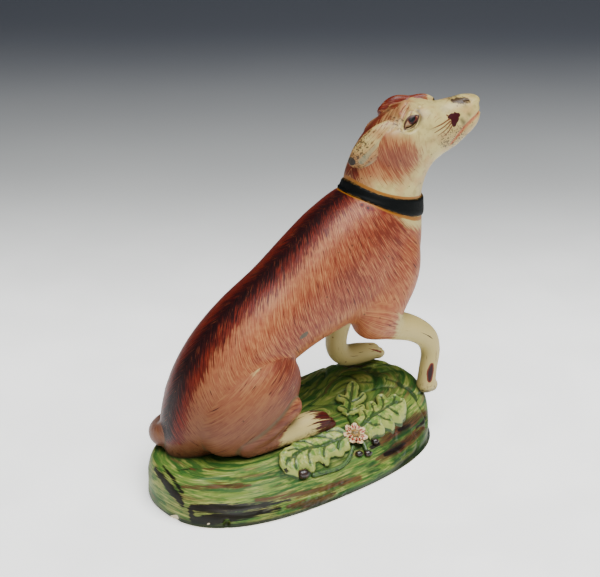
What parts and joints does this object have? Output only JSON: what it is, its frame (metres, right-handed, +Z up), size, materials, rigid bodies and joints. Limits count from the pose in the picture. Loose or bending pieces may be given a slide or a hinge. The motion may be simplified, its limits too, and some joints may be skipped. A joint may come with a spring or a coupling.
{
  "type": "ceramic dog figurine",
  "caption": "Hollow glazed pottery figure of a seated hound with a raised forepaw, on an oval mound with applied oak leaves, flower and acorns.",
  "frame": {"origin": "on the base's flat underside, at the middle of the oval base", "axes": "+X from the tail towards the nose, +Y to the dog's left, +Z up"},
  "size_m": [0.1378, 0.0662, 0.1325],
  "materials": {
    "base_glaze": "gloss",
    "coat_glaze": "gloss",
    "cream_glaze": "gloss",
    "collar_enamel": "gloss",
    "leaf_glaze": "gloss",
    "stem_glaze": "gloss",
    "petal_glaze": "gloss",
    "boss_enamel": "gloss",
    "acorn_enamel": "gloss",
    "bare_clay": "matte"
  },
  "bodies": {
    "root": {"base_mound": "base_glaze", "base_slab": "bare_clay", "trunk_right": "coat_glaze", "trunk_left": "coat_glaze", "thigh_right": "coat_glaze", "thigh_left": "coat_glaze", "hind_foot_right": "cream_glaze", "hind_foot_left": "cream_glaze", "foreleg_right": "cream_glaze", "foreleg_left": "cream_glaze", "tail": "coat_glaze", "collar": "collar_enamel", "head": "cream_glaze", "ear_right": "coat_glaze", "ear_left": "coat_glaze", "oak_leaf_rear": "leaf_glaze", "oak_leaf_front": "leaf_glaze", "oak_leaf_top": "leaf_glaze", "leaf_stems": "stem_glaze", "flower_petals": "petal_glaze", "flower_boss": "boss_enamel", "acorns": "acorn_enamel"}
  },
  "joints": []
}
